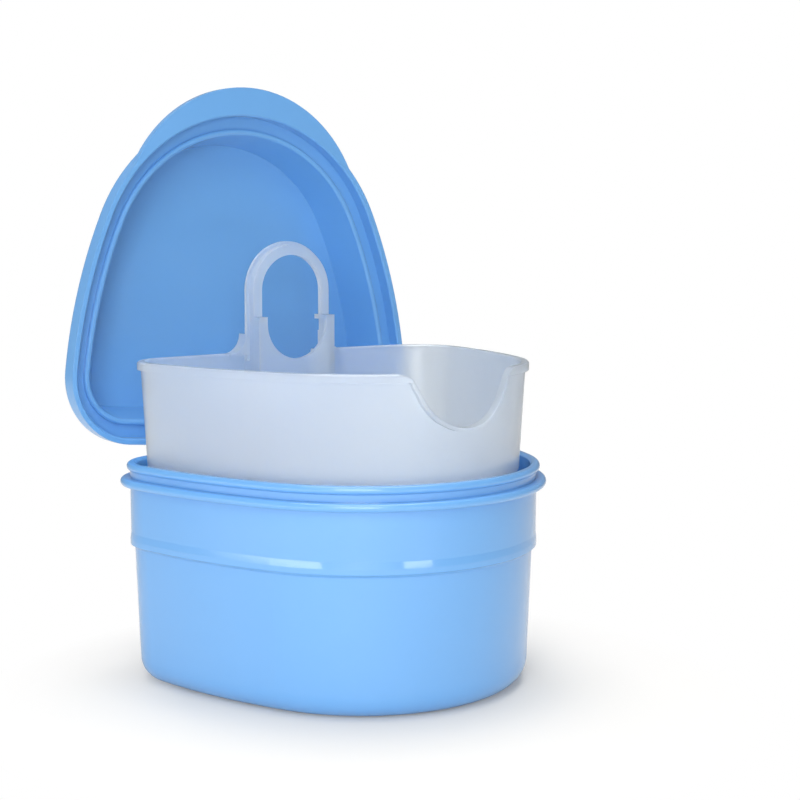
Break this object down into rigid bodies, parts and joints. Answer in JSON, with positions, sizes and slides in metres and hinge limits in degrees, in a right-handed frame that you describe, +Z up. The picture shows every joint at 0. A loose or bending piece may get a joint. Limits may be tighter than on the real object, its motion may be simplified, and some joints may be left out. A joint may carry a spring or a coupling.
{
  "type": "denture case",
  "caption": "Denture soaking case: rounded triangular cup, lift-out frosted strainer basket with tall handle and pouring notch, hinged lid with thumb tab.",
  "frame": {"origin": "on the flat underside of the cup, midway between the nose of the flange and the middle of its bowed back, on the plane of symmetry", "axes": "+Z up, away from the surface that the cup stands on; -Y towards the nose of the plan, where the thumb tab and the pouring notch are; +Y towards the hinge; +X to the right of someone who faces the nose; the hinge axis is parallel to X"},
  "size_m": [0.1062, 0.114, 0.1487],
  "materials": {
    "blue_plastic": "gloss, opaque sky blue",
    "frosted_plastic": "frosted, see-through"
  },
  "bodies": {
    "cup": {"base_cup": "blue_plastic", "hinge_pin": "blue_plastic"},
    "lid": {"lid": "blue_plastic"},
    "basket": {"strainer_basket": "frosted_plastic"}
  },
  "joints": [
    {"name": "lid_hinge", "type": "hinge", "parent": "cup", "child": "lid", "pos_m": [0, 0.05, 0.0485], "axis": [1, 0, 0], "range_deg": [0, 90]},
    {"name": "basket_lift", "type": "slide", "parent": "cup", "child": "basket", "axis": [0, 0, 1], "range_m": [-0.046, 0]}
  ],
  "couplings": [
    {"joint": "basket_lift", "follows": "lid_hinge", "m_per_rad": -0.029285}
  ]
}
